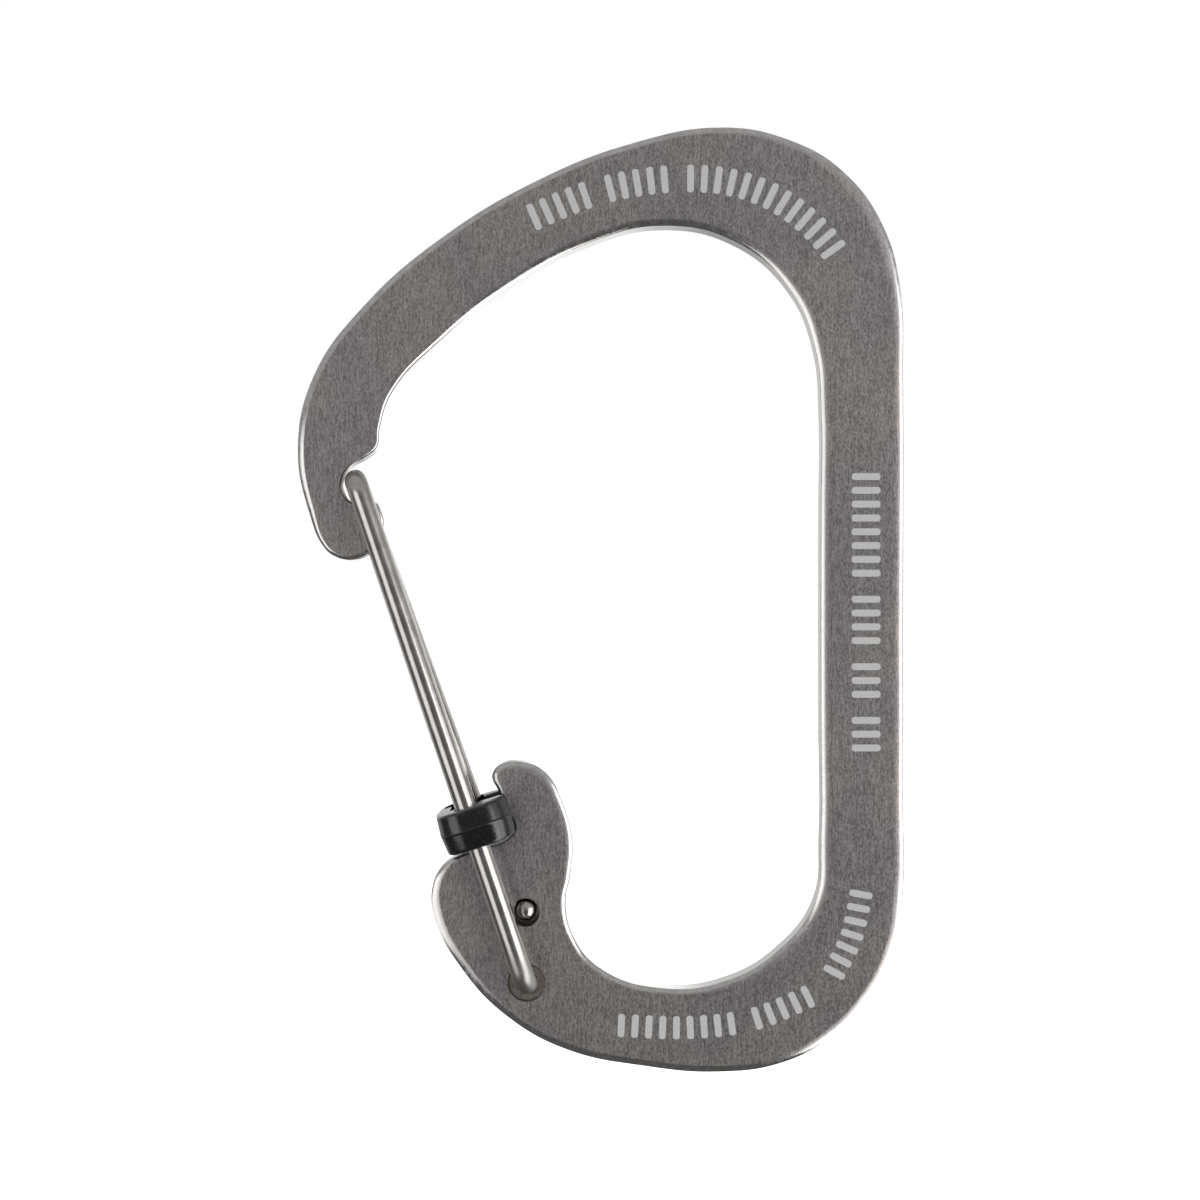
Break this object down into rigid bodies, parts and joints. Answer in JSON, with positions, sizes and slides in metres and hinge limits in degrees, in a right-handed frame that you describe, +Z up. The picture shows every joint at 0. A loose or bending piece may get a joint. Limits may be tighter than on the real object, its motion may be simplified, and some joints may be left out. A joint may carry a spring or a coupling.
{
  "type": "wire-gate carabiner keyring",
  "caption": "Flat steel plate carabiner for keys and small gear, with a sprung bent-wire gate and a black collar that slides along the gate.",
  "frame": {"origin": "centre of the object's bounding box, in the middle of the plate's thickness", "axes": "+Z up the spine from the pivot end to the rounded top, +Y through the plate from its front face to its back, +X from the gate to the spine"},
  "size_m": [0.0545, 0.0094, 0.0849],
  "materials": {
    "frame_plate": "vertical brushed grain with tumbled bright edges",
    "gate_wire": "polished drawn wire",
    "lock_collar": "glossy moulded black"
  },
  "bodies": {
    "frame": {"frame_plate": "frame_plate"},
    "gate_front": {"gate_wire_front": "gate_wire"},
    "gate_back": {"gate_wire_back": "gate_wire"},
    "collar": {"lock_collar": "lock_collar"}
  },
  "joints": [
    {"name": "gate_swing", "type": "hinge", "parent": "frame", "child": "gate_front", "pos_m": [-0.00658, 0, -0.0344], "axis": [0, 1, 0], "range_deg": [0, 15.5], "stiffness_Nm_per_rad": 0.01, "springref_deg": -5.73},
    {"name": "nose_twist", "type": "hinge", "parent": "gate_front", "child": "gate_back", "pos_m": [-0.02209, 0, 0.01066], "axis": [0, 1, 0], "range_deg": [0, 2.6]},
    {"name": "lock_slide", "type": "slide", "parent": "gate_front", "child": "collar", "axis": [-0.3195, 0, 0.9476], "range_m": [0, 0.0215]}
  ],
  "couplings": [
    {"joint": "nose_twist", "follows": "gate_swing", "ratio": 0.155}
  ]
}
